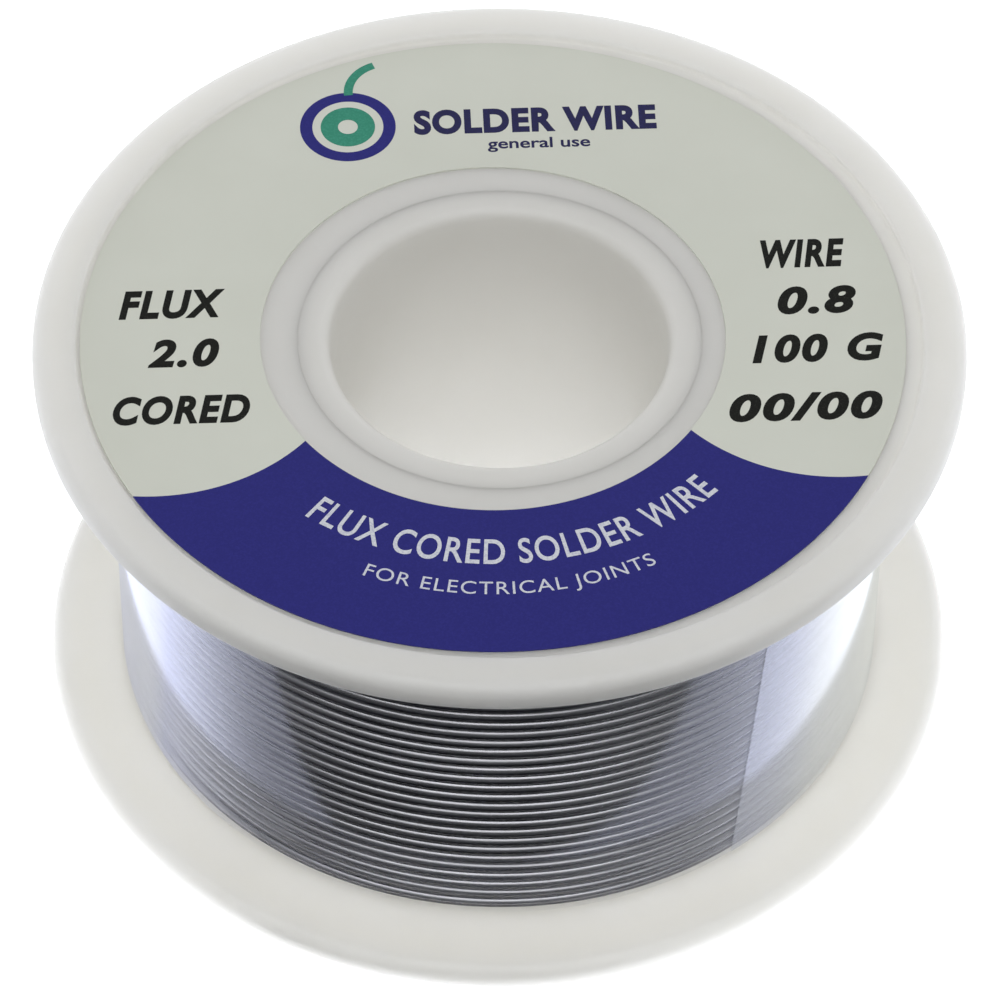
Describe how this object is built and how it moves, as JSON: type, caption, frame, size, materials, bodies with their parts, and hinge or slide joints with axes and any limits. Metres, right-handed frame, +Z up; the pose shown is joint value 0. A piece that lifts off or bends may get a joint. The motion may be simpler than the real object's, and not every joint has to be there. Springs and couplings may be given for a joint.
{
  "type": "solder wire spool",
  "caption": "Flanged plastic spool wound full of thin flux-cored solder wire, with a through bore for a dispenser spindle, a ring label and a clear film wrap.",
  "frame": {"origin": "bottom centre of the spool, on the axis of the bore, in the plane that the lower rim stands on", "axes": "+Z up along the bore axis; -Y towards the side from which the label is read; +X to the right of that"},
  "size_m": [0.055, 0.055, 0.028],
  "materials": {
    "spool_plastic": "injection-moulded natural polypropylene, milky and slightly translucent, satin gloss",
    "label_print": "off-white coated label stock with a dark blue printed panel",
    "solder_wire": "drawn tin-lead solder wire, bright satin grey",
    "rosin_flux": "amber rosin core",
    "clear_film": "clear glossy polypropylene film"
  },
  "bodies": {
    "root": {"hub_barrel": "spool_plastic", "lower_flange": "spool_plastic", "upper_flange": "spool_plastic", "face_label": "label_print", "film_wrap": "clear_film", "wire_start_tail": "solder_wire", "flux_core_start": "rosin_flux", "wire_last_turn": "solder_wire", "flux_core_end": "rosin_flux", "wire_layer_1": "solder_wire", "wire_layer_2": "solder_wire", "wire_layer_3": "solder_wire", "wire_layer_4": "solder_wire", "wire_layer_5": "solder_wire", "wire_layer_6": "solder_wire", "wire_layer_7": "solder_wire"}
  },
  "joints": []
}
